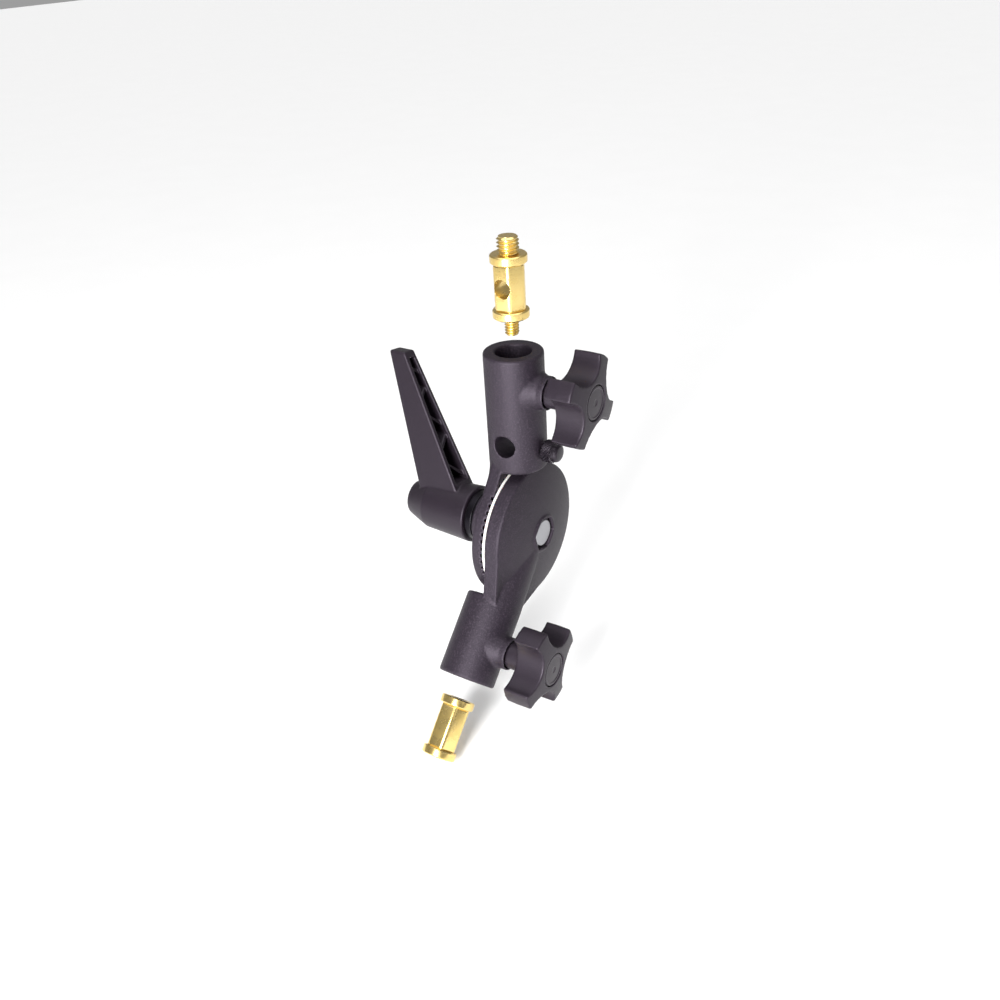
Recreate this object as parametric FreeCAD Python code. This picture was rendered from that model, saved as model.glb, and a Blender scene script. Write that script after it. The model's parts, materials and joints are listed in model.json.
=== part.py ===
import FreeCAD, Part
import math
import os

from FreeCAD import Placement, Rotation, Vector

# Umbrella swivel bracket for a studio light stand.
#
# Frame: +X is the swivel axis, towards the bolt head and the clamp knobs. +Z is the axis of
# the umbrella arm's socket. The origin is on the stand socket's axis, just inside its mouth.
# The pieces are drawn around the pivot, with their arm standing up along +Z, and put in place
# at the end. "Station" below means a place on X.

# ---- driving dimensions, in millimetres and degrees ----

rest_bend = 135.0                # turn about +X from the umbrella arm to the stand arm

# sockets and their spigots
spigot_diameter = 16.0
socket_clearance = 0.2           # on the diameter
socket_wall = 5.4
socket_chamfer = 0.6
mouth_rounding = 1.0
origin_depth = 1.0               # of the origin inside the stand socket's mouth

# umbrella arm
umbrella_tube_past_plate = 2.0   # from the plate's rim to the start of the tube
umbrella_tube_length = 55.0
spigot_socket_depth = 35.0
spigot_clamp_below_mouth = 17.0
spigot_knob_angle = 33.0

# stand arm
stand_tube_past_plate = 4.0
stand_tube_length = 39.5
stand_socket_depth = 36.0
stand_clamp_below_mouth = 17.8
stand_knob_angle = 28.0

# the two round plates of the swivel
plate_radius = 33.0
plate_dome = 5.0
dome_fullness = 0.75             # share of the dome's height reached at half the plate's radius
plate_edge_rounding = 0.8
umbrella_plate_thickness = 6.1
stand_plate_thickness = 7.25
web_start_angle = 47.0           # where the web leaves the plate's rim, from the tube's axis
web_end_past_tube_start = 4.0
fairing_inner_radius = 12.3
fairing_inner_height = 6.0
teeth_count = 60
tooth_gap_width = 1.5
tooth_gap_depth = 1.1
teeth_length = 5.0

# friction disc between the plates
friction_thickness = 1.1
friction_disc_inset = 0.1
stand_inner_face = 0.2           # station of the disc's face on the stand plate
plate_gap = 0.05
peg_count = 3
peg_radius = 1.6
peg_length = 2.2
peg_circle_radius = 20.0

# pivot bolt, M8
bolt_diameter = 8.0
hex_head_share = 1.625           # across flats of a hexagon head, over its thread's diameter
bolt_head_height = 5.2
bolt_head_chamfer = 1.2
bolt_head_sunk = 0.6
bolt_end_past_nut_face = 17.0
bolt_pocket_clearance = 0.7
bolt_pocket_rim_radius = 8.9
bolt_pocket_rim_height = 0.5

# nut boss on the umbrella arm, thrust washer and ratchet nut
boss_radius = 14.0
boss_face_from_plate = 13.0      # from the rim of the umbrella plate to the boss's end face
boss_flare_foot = 15.0
boss_cone_spread = 6.0           # how much wider the cone at the boss's foot is than the boss
boss_cone_end = 4.0              # from the boss's end face
washer_radius = 12.0
washer_thickness = 1.5
stack_gap = 0.05
nut_flange_radius = 12.4
nut_flange_thickness = 3.6
nut_body_radius = 8.0
nut_length = 22.4
nut_chamfer = 0.3
spline_depth = 1.2
spline_start = 4.3               # from the flange's outer face
spline_length = 6.0
spline_count = 16
spline_share = 0.45              # of the pitch that a tooth takes up

# ratchet lever
lever_hub_gap = 0.3
lever_hub_radius = 14.2
lever_hub_mid_radius = 13.0
lever_hub_end_radius = 9.4
lever_hub_mid = 25.5             # from the hub's inner face
lever_hub_length = 38.0
lever_hub_rounding = 2.5
lever_lean = -9.5                # turn about +X of the lever from straight up
lever_length = 74.6
lever_root_height = 6.0
lever_root_width = 15.9
lever_tip_width = 7.9
lever_root_mouth = 4.8           # the open side at the root, outwards from the hub's inner face
lever_root_back = 29.5
lever_tip_mouth = 42.9
lever_tip_back = 52.4
lever_wall = 2.2
lever_channel_floor = 14.8
lever_tip_wall = 3.0
lever_rib_thickness = 1.5
lever_rib_count = 5
lever_rib_sunk = 2.2
lever_edge_rounding = 1.0
lever_lift = 6.0

# ratchet spring and its screw, M5
ratchet_screw_diameter = 5.0
ratchet_screw_head_radius = 5.0
ratchet_screw_head_height = 3.0
ratchet_screw_grip = 5.5         # length held in the nut
spring_seat_depth = 20.5         # from the hub's inner face to the inside of the spring's seat
spring_seat_thickness = 2.5
spring_solid_length = 4.0        # room kept for the closed coils
spring_wire = 1.0
spring_radius = 4.2
spring_turns = 3.5

# clamp screws, M8, and their knobs
clamp_screw_diameter = 8.0
clamp_boss_radius = 7.6
clamp_boss_length = 4.8          # from the tube's wall
clamp_boss_foot_spread = 2.6
clamp_counterbore_depth = 3.0
clamp_pad_inset = 0.4            # how much smaller the pad's radius is than its screw's
clamp_pad_thickness = 3.0
clamp_pad_sunk = 0.2             # how far the drawn-back pad stands behind the socket's wall
pad_pivot_radius = 1.5
pad_pivot_length = 1.6
clamp_boss_lip = 1.2             # how much smaller the neck's radius is than the boss's
knob_neck_sunk = 0.5
knob_neck_length = 8.2           # from the boss's end to the back of the knob's lobes
knob_thickness = 12.5            # at the lobes' ends
knob_dome = 2.2                  # how far the middle of the face stands past the lobes' ends
knob_radius = 21.0
knob_lobe_half_width = 4.2
knob_lobe_corner = 20.2
knob_waist_radius = 9.8
knob_lobes = 4
knob_edge_rounding = 1.0
knob_cap_radius = 7.6
knob_cap_thickness = 2.2
knob_cap_sunk = 0.6
clamp_head_height = 5.3

# umbrella hole and its lock screw, M5
umbrella_hole_diameter = 10.3
umbrella_hole_past_tube_start = 11.0
umbrella_hole_offset = 0.8
umbrella_hole_slope = 12.0
lock_screw_diameter = 5.0
lock_screw_below_hole = 1.5
lock_head_radius = 5.3
lock_head_gap = 1.0              # from the tube's wall
lock_knurl_length = 4.0
lock_nose_length = 4.0
lock_nose_radius = 3.6
lock_knurl_count = 24
lock_knurl_depth = 0.45
lock_knurl_width = 0.5
lock_tip_radius = 2.1
lock_tip_thickness = 1.6
lock_tip_sunk = 0.35             # how far the drawn-back tip stands behind the hole's wall
lock_tip_pivot_radius = 0.8
lock_tip_pivot_length = 0.9

# brass studs
stud_waist_step = 3.0            # how much less the waist's across flats is than the spigot
male_stud_gap = 7.5              # from the socket's mouth to the drawn-out stud
male_collar_length = 3.8
male_waist_length = 20.0
small_thread_diameter = 6.35
small_thread_length = 7.8
large_thread_diameter = 9.525
large_thread_length = 7.4
stud_cross_hole_diameter = 8.0
female_stud_gap = 9.5
female_collar_length = 3.9
female_waist_length = 20.2
large_tap_diameter = 7.94
large_tap_depth = 12.0
small_tap_diameter = 5.11
small_tap_depth = 9.0
stud_chamfer = 0.5

# clearances
running_clearance = 0.05         # shaft in a hole, on the radius
loose_clearance = 0.4            # pieces that pass without guiding, on the radius
fixed_clearance = 0.1            # pieces fastened together

# ---- derived sizes ----

socket_radius = (spigot_diameter + socket_clearance) / 2
tube_radius = socket_radius + socket_wall
umbrella_tube_start = plate_radius + umbrella_tube_past_plate
umbrella_tube_end = umbrella_tube_start + umbrella_tube_length
spigot_clamp_height = umbrella_tube_end - spigot_clamp_below_mouth
umbrella_hole_height = umbrella_tube_start + umbrella_hole_past_tube_start
lock_screw_height = umbrella_hole_height - lock_screw_below_hole
stand_tube_start = plate_radius + stand_tube_past_plate
stand_tube_end = stand_tube_start + stand_tube_length
stand_clamp_height = stand_tube_end - stand_clamp_below_mouth
bolt_radius = bolt_diameter / 2
clamp_screw_radius = clamp_screw_diameter / 2
lock_screw_radius = lock_screw_diameter / 2
ratchet_screw_radius = ratchet_screw_diameter / 2
collar_radius = spigot_diameter / 2
stud_across_flats = spigot_diameter - stud_waist_step
bolt_head_across_flats = hex_head_share * bolt_diameter
clamp_head_across_flats = hex_head_share * clamp_screw_diameter
nut_neck_radius = nut_body_radius - spline_depth
spring_space = lever_lift + spring_solid_length

stand_plate_face = stand_inner_face + plate_gap
stand_rim_face = stand_plate_face + stand_plate_thickness
stand_crown = stand_rim_face + plate_dome
umbrella_plate_face = stand_inner_face - friction_thickness
umbrella_rim_face = umbrella_plate_face - umbrella_plate_thickness
boss_face = umbrella_rim_face - boss_face_from_plate
washer_face = boss_face - stack_gap - washer_thickness
nut_face = washer_face - stack_gap
flange_face = nut_face - nut_flange_thickness
lever_face = flange_face - lever_hub_gap
spring_seat_outside = lever_face - spring_seat_depth - spring_seat_thickness
screw_head_face = spring_seat_outside - spring_space
bolt_head_top = stand_crown - bolt_head_sunk
bolt_head_face = bolt_head_top - bolt_head_height
clamp_boss_end = tube_radius + clamp_boss_length
clamp_boss_foot_radius = clamp_boss_radius + clamp_boss_foot_spread
clamp_counterbore_floor = clamp_boss_end - clamp_counterbore_depth
clamp_pad_radius = clamp_screw_radius - clamp_pad_inset
knob_neck_radius = clamp_boss_radius - clamp_boss_lip
knob_neck_start = clamp_boss_end - knob_neck_sunk
knob_back = clamp_boss_end + knob_neck_length
lock_head_start = tube_radius + lock_head_gap
lock_tip_start = umbrella_hole_offset + umbrella_hole_diameter / 2 + lock_tip_sunk
clamp_pad_face = socket_radius + clamp_pad_sunk
clamp_screw_face = clamp_pad_face + clamp_pad_thickness
knob_front = knob_back + knob_thickness + knob_dome
knob_cap_seat = knob_front - knob_cap_sunk - knob_cap_thickness

X_AXIS = Vector(1, 0, 0)
Z_AXIS = Vector(0, 0, 1)


# ---- shapes used again and again ----

def rod(radius, start, end, height=0.0):
    """A round bar along X from start to end, at a height above the pivot."""
    low, high = min(start, end), max(start, end)
    return Part.makeCylinder(radius, high - low, Vector(low, 0, height), X_AXIS)


def post(radius, bottom, top):
    """A round bar along Z."""
    return Part.makeCylinder(radius, top - bottom, Vector(0, 0, bottom), Z_AXIS)


def cone_along_x(start, start_radius, end, end_radius, height=0.0):
    """A cone frustum along X between two stations."""
    if start > end:
        start, start_radius, end, end_radius = end, end_radius, start, start_radius
    return Part.makeCone(start_radius, end_radius, end - start, Vector(start, 0, height), X_AXIS)


def cone_along_z(bottom, bottom_radius, top, top_radius):
    """A cone frustum along Z between two heights."""
    return Part.makeCone(bottom_radius, top_radius, top - bottom, Vector(0, 0, bottom), Z_AXIS)


def hexagon(across_flats, start, end, axis=X_AXIS, first_angle=30.0):
    """A hexagonal bar along an axis, X or Z."""
    corner = across_flats / math.sqrt(3)
    along_x = axis == X_AXIS
    points = []
    for step in range(7):
        angle = math.radians(first_angle + 60 * step)
        a, b = corner * math.cos(angle), corner * math.sin(angle)
        points.append(Vector(start, a, b) if along_x else Vector(a, b, start))
    return Part.Face(Part.makePolygon(points)).extrude(axis * (end - start))


def turned(points, axis=X_AXIS):
    """A turned solid from (station, radius) points, closed on the axis, about X or Z."""
    along_x = axis == X_AXIS
    outline = [(points[0][0], 0.0)] + list(points) + [(points[-1][0], 0.0)]
    corners = []
    for station, radius in outline:
        corner = Vector(station, radius, 0) if along_x else Vector(radius, 0, station)
        if not corners or corner.distanceToPoint(corners[-1]) > 1e-6:
            corners.append(corner)
    wire = Part.makePolygon(corners + [corners[0]])
    return Part.Face(wire).revolve(Vector(0, 0, 0), axis, 360)


def half_space(x_start, x_end, reach=200.0):
    """A large block between two stations on X, for keeping one side of a shape."""
    low, high = min(x_start, x_end), max(x_start, x_end)
    return Part.makeBox(high - low, 2 * reach, 2 * reach, Vector(low, -reach, -reach))


def raised(shape, height):
    """The shape moved up the arm."""
    return shape.translated(Vector(0, 0, height))


# ---- castings ----

def domed_plate(inner, rim, crown):
    """A round plate with a flat inner face, a rounded rim and a domed outer face."""
    side = 1 if rim > inner else -1
    soft = plate_edge_rounding
    rim_corner = Vector(rim - side * soft, plate_radius, 0)
    dome_edge = Vector(rim, plate_radius - soft, 0)
    turn = math.radians(45)
    rounding_middle = Vector(
        rim - side * soft * (1 - math.sin(turn)), plate_radius - soft * (1 - math.cos(turn)), 0
    )
    dome_middle = Vector(rim + side * plate_dome * dome_fullness, plate_radius / 2, 0)
    edges = [
        Part.LineSegment(Vector(inner, 0, 0), Vector(inner, plate_radius, 0)),
        Part.LineSegment(Vector(inner, plate_radius, 0), rim_corner),
        Part.Arc(rim_corner, rounding_middle, dome_edge),
        Part.Arc(dome_edge, dome_middle, Vector(crown, 0, 0)),
        Part.LineSegment(Vector(crown, 0, 0), Vector(inner, 0, 0)),
    ]
    wire = Part.Wire([edge.toShape() for edge in edges])
    return Part.Face(wire).revolve(Vector(0, 0, 0), X_AXIS, 360)


def web(inner, rim, tube_start):
    """The flat web that leaves the plate's rim at a tangent and runs into the tube's sides."""
    angle = math.radians(web_start_angle)
    inset = plate_radius - plate_edge_rounding / 4
    rim_y, rim_z = inset * math.sin(angle), inset * math.cos(angle)
    reach = max(abs(inner), abs(rim))
    end_y = math.sqrt(tube_radius**2 - reach**2)
    end_z = tube_start + web_end_past_tube_start
    outline = [
        Vector(inner, -rim_y, rim_z), Vector(inner, -end_y, end_z), Vector(inner, end_y, end_z),
        Vector(inner, rim_y, rim_z), Vector(inner, 0, 0),
    ]
    face = Part.Face(Part.makePolygon(outline + [outline[0]]))
    return face.extrude(X_AXIS * (rim - inner))


def socket_tube(tube_start, tube_end):
    """The round tube of an arm, with its outer edges rounded."""
    tube = post(tube_radius, tube_start, tube_end)
    ends = [edge for edge in tube.Edges if abs(edge.Length - 2 * math.pi * tube_radius) < 0.01]
    return tube.makeFillet(mouth_rounding, ends)


def socket_space(tube_end, depth):
    """The space inside a socket, with the chamfer at its mouth."""
    bore = post(socket_radius, tube_end - depth, tube_end + 1)
    lip = cone_along_z(
        tube_end - socket_chamfer, socket_radius, tube_end + 1, socket_radius + socket_chamfer + 1
    )
    return bore.fuse(lip)


def fairing(side, tube_start):
    """The round form of the tube, carried on over the domed plate until it fades out."""
    cone = cone_along_z(
        fairing_inner_height, fairing_inner_radius, tube_start + 2 * mouth_rounding, tube_radius
    )
    return cone.common(half_space(0, side * 3 * tube_radius))


def clamp_boss(height):
    """The boss for a clamp screw on the side of a tube."""
    foot_start = socket_radius + 1
    foot_end = tube_radius + 1.5
    straight = rod(clamp_boss_radius, foot_start, clamp_boss_end, height)
    edge = [e for e in straight.Edges if abs(e.BoundBox.XMin - clamp_boss_end) < 1e-6]
    straight = straight.makeFillet(mouth_rounding / 3, edge)
    foot = cone_along_x(foot_start, clamp_boss_foot_radius, foot_end, clamp_boss_radius, height)
    return straight.fuse(foot)


def clamp_screw_space(height):
    """The threaded hole of a clamp screw and the counterbore that takes its knob's neck."""
    hole = rod(clamp_screw_radius + running_clearance, 0, clamp_boss_end + 1, height)
    neck_radius = knob_neck_radius + loose_clearance
    neck = rod(neck_radius, clamp_counterbore_floor, clamp_boss_end + 1, height)
    return hole.fuse(neck)


def bolt_space():
    """The hole for the pivot bolt through both castings."""
    return rod(bolt_radius + running_clearance, boss_face - 1, stand_crown + 2)


def stand_arm():
    """The casting that stands on the light stand, drawn with its tube up."""
    blank = domed_plate(stand_plate_face, stand_rim_face, stand_crown)
    rim = rod(bolt_pocket_rim_radius, stand_plate_face, stand_crown + bolt_pocket_rim_height)
    for piece in (
        web(stand_plate_face, stand_rim_face, stand_tube_start),
        socket_tube(stand_tube_start, stand_tube_end),
        fairing(1, stand_tube_start).common(half_space(stand_plate_face, 3 * tube_radius)),
        clamp_boss(stand_clamp_height),
        rim,
    ):
        blank = blank.fuse(piece)
    pocket = hexagon(
        bolt_head_across_flats + 2 * bolt_pocket_clearance, bolt_head_face, stand_crown + 2
    )
    for space in (
        socket_space(stand_tube_end, stand_socket_depth),
        clamp_screw_space(stand_clamp_height),
        bolt_space(),
        pocket,
    ):
        blank = blank.cut(space)
    return blank.removeSplitter()


def boss_flare():
    """The neck that flares from the umbrella tube's wall out to the nut boss."""
    sections = []
    steps = 5
    reach = abs(boss_face) - tube_radius
    for step in range(steps + 1):
        share = step / steps
        height = umbrella_tube_start + (boss_flare_foot - umbrella_tube_start) * share
        depth = tube_radius + reach * share**1.5
        ends = Vector(0, tube_radius, height), Vector(0, -tube_radius, height)
        if depth > tube_radius + 1e-6:
            bow = Part.Ellipse(Vector(-depth, 0, height), ends[0], Vector(0, 0, height))
        else:
            bow = Part.Circle(Vector(0, 0, height), Z_AXIS, tube_radius)
        half = bow.toShape().common(
            Part.makeBox(2 * depth, 4 * depth, 1, Vector(-2 * depth, -2 * depth, height - 0.5))
        )
        back = Part.LineSegment(ends[0], ends[1]).toShape()
        sections.append(Part.Wire(Part.sortEdges(half.Edges + [back])[0]))
    return Part.makeLoft(sections, True)


def tooth_gaps():
    """The radial gaps between the teeth around the umbrella plate's inner face."""
    floor = umbrella_plate_face - tooth_gap_depth
    block = Part.makeBox(
        tooth_gap_depth + 1, tooth_gap_width, teeth_length + 1,
        Vector(floor, -tooth_gap_width / 2, plate_radius - teeth_length),
    )
    gaps = []
    for step in range(teeth_count):
        gap = block.copy()
        gap.rotate(Vector(0, 0, 0), X_AXIS, 360 / teeth_count * (step + 0.5))
        gaps.append(gap)
    return gaps


def friction_pegs(radius, length):
    """The pegs that key the friction disc to the umbrella plate."""
    pegs = []
    for step in range(peg_count):
        peg = rod(radius, umbrella_plate_face - length, umbrella_plate_face, peg_circle_radius)
        peg.rotate(Vector(0, 0, 0), X_AXIS, 360 / peg_count * step + 60)
        pegs.append(peg)
    return pegs


def umbrella_hole_space():
    """The sloping hole for the umbrella's shaft."""
    slope = math.radians(umbrella_hole_slope)
    along = Vector(0, -math.cos(slope), math.sin(slope))
    centre = Vector(umbrella_hole_offset, 0, umbrella_hole_height)
    reach = 2 * tube_radius
    return Part.makeCylinder(umbrella_hole_diameter / 2, 2 * reach, centre - along * reach, along)


def umbrella_arm():
    """The casting that carries the umbrella and the light."""
    blank = domed_plate(umbrella_plate_face, umbrella_rim_face, umbrella_rim_face - plate_dome)
    behind_plate = half_space(umbrella_plate_face, -3 * tube_radius)
    for piece in (
        web(umbrella_plate_face, umbrella_rim_face, umbrella_tube_start),
        socket_tube(umbrella_tube_start, umbrella_tube_end),
        fairing(-1, umbrella_tube_start).common(behind_plate),
        boss_flare().common(behind_plate),
        rod(boss_radius, umbrella_plate_face, boss_face),
        cone_along_x(
            umbrella_rim_face - 1, boss_radius + boss_cone_spread,
            boss_face + boss_cone_end, boss_radius,
        ),
        clamp_boss(spigot_clamp_height),
    ):
        blank = blank.fuse(piece)
    lock_hole = rod(lock_screw_radius + running_clearance, 1, 2 * tube_radius, lock_screw_height)
    for space in (
        socket_space(umbrella_tube_end, spigot_socket_depth),
        clamp_screw_space(spigot_clamp_height),
        umbrella_hole_space(),
        lock_hole,
        bolt_space(),
    ):
        blank = blank.cut(space)
    pegs = friction_pegs(peg_radius + fixed_clearance, peg_length + fixed_clearance)
    return blank.removeSplitter().cut(tooth_gaps() + pegs)


# ---- the swivel's small pieces ----

def friction_disc():
    """The white friction disc, with the pegs that stop it turning in the umbrella plate."""
    disc = rod(plate_radius - friction_disc_inset, umbrella_plate_face, stand_inner_face)
    for peg in friction_pegs(peg_radius, peg_length):
        disc = disc.fuse(peg)
    return disc.cut(rod(bolt_radius + loose_clearance, umbrella_plate_face - 1, stand_plate_face))


def pivot_bolt():
    """The M8 hexagon bolt that everything turns on."""
    head = hexagon(bolt_head_across_flats, bolt_head_face, bolt_head_top)
    crown = turned(
        [
            (bolt_head_face, 2 * bolt_head_across_flats),
            (bolt_head_top - bolt_head_chamfer, bolt_head_across_flats / math.sqrt(3)),
            (bolt_head_top, bolt_head_across_flats / 2 - bolt_head_chamfer / 3),
        ]
    )
    end = nut_face - bolt_end_past_nut_face
    shank = turned(
        [(end, bolt_radius - 1), (end + 1, bolt_radius), (bolt_head_face, bolt_radius)]
    )
    return head.common(crown).fuse(shank)


def thrust_washer():
    """The steel washer under the ratchet nut."""
    blank = rod(washer_radius, boss_face - stack_gap, washer_face)
    return blank.cut(rod(bolt_radius + loose_clearance, boss_face + 1, washer_face - 1))


def spline_teeth(outer_radius, root_radius, start, end, spread):
    """Spline teeth along X; spread widens each tooth for the space that it runs in."""
    pitch = 2 * math.pi * outer_radius / spline_count
    width = pitch * spline_share + spread
    tooth = Part.makeBox(
        abs(end - start), width, outer_radius - root_radius + 1,
        Vector(min(start, end), -width / 2, root_radius - 1),
    )
    teeth = []
    for step in range(spline_count):
        copy = tooth.copy()
        copy.rotate(Vector(0, 0, 0), X_AXIS, 360 / spline_count * step)
        teeth.append(copy)
    limit = rod(outer_radius, start, end)
    return Part.makeCompound(teeth).common(limit)


def ratchet_nut():
    """The steel nut: a flange, a splined body for the lever, and the thread for the bolt."""
    teeth_start = flange_face - spline_start
    teeth_end = teeth_start - spline_length
    end = flange_face - nut_length + nut_flange_thickness
    blank = turned(
        [
            (end, nut_neck_radius - 2 * nut_chamfer), (end + 2 * nut_chamfer, nut_neck_radius),
            (teeth_start, nut_neck_radius), (teeth_start, nut_body_radius),
            (flange_face, nut_body_radius), (flange_face, nut_flange_radius - nut_chamfer),
            (flange_face + nut_chamfer, nut_flange_radius),
            (nut_face - nut_chamfer, nut_flange_radius), (nut_face, nut_flange_radius - nut_chamfer),
        ]
    )
    blank = blank.fuse(
        spline_teeth(nut_body_radius, nut_neck_radius, teeth_start, teeth_end, 0)
    )
    bolt_end = nut_face - bolt_end_past_nut_face - 0.5
    blank = blank.cut(rod(bolt_radius + running_clearance, nut_face + 1, bolt_end))
    blank = blank.cut(rod(ratchet_screw_radius + running_clearance, end - 1, bolt_end + 1))
    blank.rotate(Vector(0, 0, 0), X_AXIS, lever_lean)
    return blank


def ratchet_screw():
    """The screw that holds the lever and its spring on the nut."""
    head_end = screw_head_face - ratchet_screw_head_height
    inner_end = flange_face - nut_length + nut_flange_thickness + ratchet_screw_grip
    inner_end = min(inner_end, nut_face - bolt_end_past_nut_face - 1.0)
    blank = turned(
        [
            (head_end, ratchet_screw_head_radius - 1.2), (head_end + 1.2, ratchet_screw_head_radius),
            (screw_head_face, ratchet_screw_head_radius), (screw_head_face, ratchet_screw_radius),
            (inner_end - 0.5, ratchet_screw_radius), (inner_end, ratchet_screw_radius - 0.5),
        ]
    )
    drive = hexagon(ratchet_screw_radius * 1.6, head_end - 1, head_end + 2)
    return blank.cut(drive)


def ratchet_spring():
    """The compression spring between the lever's seat and the screw's head."""
    low = screw_head_face + spring_wire / 2
    high = spring_seat_outside - spring_wire / 2
    helix = Part.makeHelix((high - low) / spring_turns, high - low, spring_radius)
    thin = spring_wire / 2
    left, right = Vector(spring_radius - thin, 0, 0), Vector(spring_radius + thin, 0, 0)
    halves = [
        Part.Arc(left, Vector(spring_radius, 0, thin), right),
        Part.Arc(right, Vector(spring_radius, 0, -thin), left),
    ]
    profile = Part.Wire([half.toShape() for half in halves])
    coil = Part.Wire(helix).makePipeShell([profile], True, True)
    coil.Placement = Placement(Vector(low, 0, 0), Rotation(Z_AXIS, X_AXIS))
    return coil


def lever_section(height, grow=0.0, mouth_grow=0.0):
    """The lever's section at a height along it, drawn in by a wall where grow is negative."""
    share = (height - lever_root_height) / (lever_length - lever_root_height)
    back = lever_face - (lever_root_back + (lever_tip_back - lever_root_back) * share)
    mouth = lever_face - (lever_root_mouth + (lever_tip_mouth - lever_root_mouth) * share)
    half = (lever_root_width + (lever_tip_width - lever_root_width) * share) / 2 + grow
    back, mouth = back - grow, mouth + mouth_grow
    points = [
        Vector(x, y, height) for x, y in ((back, -half), (mouth, -half), (mouth, half), (back, half))
    ]
    return Part.makePolygon(points + [points[0]])


def lever_channel(mouth_grow):
    """The space inside the lever's open side."""
    top = lever_length - lever_tip_wall
    heights = (lever_channel_floor, top)
    sections = [lever_section(height, -lever_wall, mouth_grow) for height in heights]
    return Part.makeLoft(sections, True, True)


def lever_ribs():
    """The zigzag ribs across the channel, a little lower than its edges."""
    step_height = (lever_length - lever_tip_wall - lever_channel_floor) / lever_rib_count
    ribs = []
    reach = lever_root_width / 2
    for step in range(lever_rib_count):
        side = 1 if step % 2 else -1
        low = Vector(0, -side * reach, lever_channel_floor + step * step_height)
        high = Vector(0, side * reach, low.z + step_height)
        along = (high - low).normalize()
        across = Vector(0, -along.z, along.y) * (lever_rib_thickness / 2)
        corners = [low - across, high - across, high + across, low + across]
        face = Part.Face(Part.makePolygon(corners + [corners[0]]))
        ribs.append(face.extrude(X_AXIS * -2 * lever_hub_length))
    return Part.makeCompound(ribs).common(lever_channel(-lever_rib_sunk))


def lever_handle():
    """The plastic lever: a hub over the nut's splines and a ribbed arm open on one side."""
    hub_mid = lever_face - lever_hub_mid
    hub_end = lever_face - lever_hub_length
    hub = turned(
        [
            (hub_end, lever_hub_end_radius - lever_hub_rounding),
            (hub_end + lever_hub_rounding * 0.3, lever_hub_end_radius - lever_hub_rounding * 0.3),
            (hub_end + lever_hub_rounding, lever_hub_end_radius),
            (hub_mid, lever_hub_mid_radius),
            (lever_face - 0.5, lever_hub_radius), (lever_face, lever_hub_radius - 0.5),
        ]
    )
    arm = Part.makeLoft([lever_section(h) for h in (lever_root_height, lever_length)], True, True)
    long_edges = [e for e in arm.Edges if e.BoundBox.ZLength > lever_length / 2]
    tip_edges = [e for e in arm.Edges if e.BoundBox.ZMin > lever_length - 1e-3]
    arm = arm.makeFillet(lever_edge_rounding, long_edges + tip_edges)
    open_space = lever_channel(lever_hub_length).cut(rod(lever_hub_radius, hub_end, lever_face))
    arm = arm.cut(open_space).fuse(lever_ribs())
    blank = hub.fuse(arm)
    teeth_start = flange_face - spline_start
    spaces = [
        rod(nut_body_radius + loose_clearance, lever_face + 1, teeth_start),
        rod(nut_neck_radius + loose_clearance, lever_face, lever_face - spring_seat_depth),
        spline_teeth(
            nut_body_radius + loose_clearance, nut_neck_radius + loose_clearance,
            teeth_start + 1, teeth_start - spline_length, loose_clearance * 1.5,
        ),
        rod(ratchet_screw_radius + loose_clearance, lever_face, hub_end - 1),
        rod(ratchet_screw_head_radius + loose_clearance, spring_seat_outside, hub_end - 1),
    ]
    for space in spaces:
        blank = blank.cut(space)
    blank.rotate(Vector(0, 0, 0), X_AXIS, lever_lean)
    return blank.removeSplitter()


# ---- clamp screws and knobs ----

def star_outline(start):
    """The knob's outline: lobes with bowed ends, joined by hollow arcs."""
    corner_angle = math.atan2(knob_lobe_half_width, knob_lobe_corner)
    corner_radius = math.hypot(knob_lobe_half_width, knob_lobe_corner)
    pitch = 2 * math.pi / knob_lobes

    def at(radius, angle):
        return Vector(start, radius * math.sin(angle), radius * math.cos(angle))

    edges = []
    for lobe in range(knob_lobes):
        middle = pitch * lobe
        left, right = middle - corner_angle, middle + corner_angle
        lobe_start, lobe_end = at(corner_radius, left), at(corner_radius, right)
        next_start = at(corner_radius, left + pitch)
        edges.append(Part.Arc(lobe_start, at(knob_radius, middle), lobe_end))
        edges.append(Part.Arc(lobe_end, at(knob_waist_radius, middle + pitch / 2), next_start))
    return Part.Wire([edge.toShape() for edge in edges])


def clamp_knob(height, angle):
    """The four-lobed plastic knob, with a pocket for the screw's head and a seat for its cap."""
    star = Part.Face(star_outline(knob_back)).extrude(X_AXIS * (knob_front - knob_back))
    back_edges = [e for e in star.Edges if e.BoundBox.XMax < knob_back + 0.01]
    star = star.makeFillet(knob_edge_rounding, back_edges)
    dome_radius = (knob_radius**2 + knob_dome**2) / (2 * knob_dome)
    dome = Part.makeSphere(dome_radius)
    dome.rotate(Vector(0, 0, 0), Z_AXIS, 180)  # keeps the sphere's seam off the knob's face
    dome.translate(Vector(knob_front - dome_radius, 0, 0))
    star = star.common(dome)
    neck = turned(
        [
            (knob_neck_start, knob_neck_radius - 0.4), (knob_neck_start + 0.4, knob_neck_radius),
            (knob_back + 1, knob_neck_radius),
        ]
    )
    blank = star.fuse(neck)
    head_start = knob_cap_seat - fixed_clearance - clamp_head_height
    for space in (
        rod(clamp_screw_radius + fixed_clearance, knob_neck_start - 1, knob_front),
        hexagon(clamp_head_across_flats + 2 * fixed_clearance, head_start, knob_cap_seat + 1),
        rod(knob_cap_radius + fixed_clearance, knob_cap_seat, knob_front + 1),
    ):
        blank = blank.cut(space)
    blank.rotate(Vector(0, 0, 0), X_AXIS, -angle)
    return raised(blank.removeSplitter(), height)


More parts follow.
